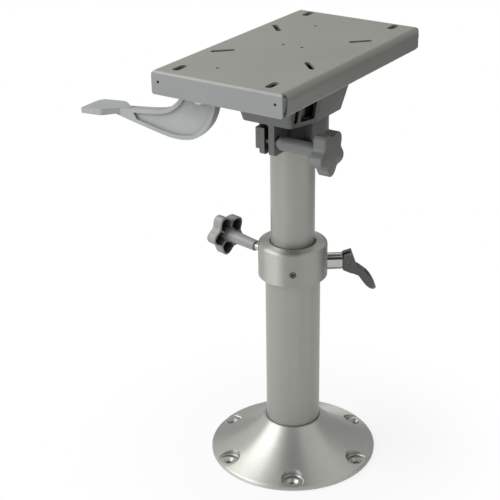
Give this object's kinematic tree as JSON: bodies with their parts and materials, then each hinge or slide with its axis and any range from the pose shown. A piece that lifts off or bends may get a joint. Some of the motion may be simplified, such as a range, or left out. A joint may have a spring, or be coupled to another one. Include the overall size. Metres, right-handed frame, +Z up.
{
  "type": "boat seat pedestal",
  "caption": "Height-adjustable boat seat pedestal: round deck flange, telescoping aluminium post with cam plunger and star knobs, swivelling head and a sliding folded seat plate",
  "frame": {"origin": "middle of the underside of the deck flange, on the axis of the post", "axes": "+Z up along the post; +X towards the front edge of the seat plate, the edge beside the slide lever; +Y to the side that the clamp knob points to"},
  "size_m": [0.3321, 0.3275, 0.5769],
  "materials": {
    "anodised_aluminium": "satin anodised",
    "painted_casting": "fine grey powder coat on cast aluminium",
    "grey_moulding": "mid-grey glass-filled moulding, soft sheen",
    "dark_moulding": "dark grey moulding",
    "black_nylon": "black nylon",
    "chrome": "bright plated",
    "stainless_steel": "plain stainless",
    "zinc_plated_steel": "dull zinc",
    "satin_plate": "satin, warm grey"
  },
  "bodies": {
    "base": {"base_flange": "anodised_aluminium", "outer_tube": "anodised_aluminium", "collar": "anodised_aluminium", "guide_bushing": "black_nylon", "grub_screw": "stainless_steel", "plunger_barrel": "chrome"},
    "plunger": {"plunger_pin": "chrome", "cam_pivot_pin": "stainless_steel"},
    "cam": {"cam_lever": "dark_moulding"},
    "pad": {"pressure_pad": "black_nylon"},
    "tension": {"tension_stud": "stainless_steel", "tension_knob": "grey_moulding"},
    "post": {"inner_tube": "anodised_aluminium", "foot_bushing": "black_nylon", "thrust_washer": "black_nylon"},
    "head": {"head_casting": "painted_casting", "swivel_bushing": "black_nylon", "clamp_nut": "painted_casting", "slide_carriage": "zinc_plated_steel", "carriage_bolt_rear_left": "stainless_steel", "carriage_bolt_rear_right": "stainless_steel", "carriage_bolt_front_left": "stainless_steel", "carriage_bolt_front_right": "stainless_steel", "glide_rear_left": "black_nylon", "glide_rear_right": "black_nylon", "glide_front_left": "black_nylon", "glide_front_right": "black_nylon", "lever_bolt": "stainless_steel", "lever_nut": "stainless_steel"},
    "washer": {"clamp_washer": "stainless_steel"},
    "clamp": {"clamp_stud": "stainless_steel", "clamp_knob": "grey_moulding"},
    "lever": {"slide_lever": "grey_moulding"},
    "seat": {"seat_plate": "satin_plate"}
  },
  "joints": [
    {"name": "height_slide", "type": "slide", "parent": "base", "child": "post", "axis": [0, 0, 1], "range_m": [-0.11, 0.04]},
    {"name": "swivel", "type": "hinge", "parent": "post", "child": "head", "pos_m": [0, 0, 0.5], "axis": [0, 0, 1], "continuous": true},
    {"name": "plate_slide", "type": "slide", "parent": "head", "child": "seat", "axis": [1, 0, 0], "range_m": [-0.018, 0.07]},
    {"name": "lever_lift", "type": "hinge", "parent": "head", "child": "lever", "pos_m": [0.136, -0.041, 0.545], "axis": [-1, 0, 0], "range_deg": [0, 12]},
    {"name": "plunger_slide", "type": "slide", "parent": "base", "child": "plunger", "axis": [-0.5976, 0.8018, 0], "range_m": [0, 0.007]},
    {"name": "cam_flip", "type": "hinge", "parent": "plunger", "child": "cam", "pos_m": [-0.04333, 0.05813, 0.2853], "axis": [0.8018, 0.5976, 0], "range_deg": [0, 90]},
    {"name": "pad_slide", "type": "slide", "parent": "base", "child": "pad", "axis": [-0.23, -0.9732, 0], "range_m": [0, 0.003]},
    {"name": "tension_turn", "type": "hinge", "parent": "pad", "child": "tension", "pos_m": [-0.02301, -0.09732, 0.287], "axis": [-0.23, -0.9732, 0], "range_deg": [0, 720]},
    {"name": "washer_slide", "type": "slide", "parent": "head", "child": "washer", "axis": [0, 1, 0], "range_m": [0, 0.003]},
    {"name": "clamp_turn", "type": "hinge", "parent": "washer", "child": "clamp", "pos_m": [0.0536, 0.05, 0.472], "axis": [0, 1, 0], "range_deg": [0, 720]}
  ],
  "couplings": [
    {"joint": "plunger_slide", "follows": "cam_flip", "m_per_rad": 0.0044563},
    {"joint": "pad_slide", "follows": "tension_turn", "m_per_rad": 0.00023873},
    {"joint": "washer_slide", "follows": "clamp_turn", "m_per_rad": 0.00023873}
  ]
}
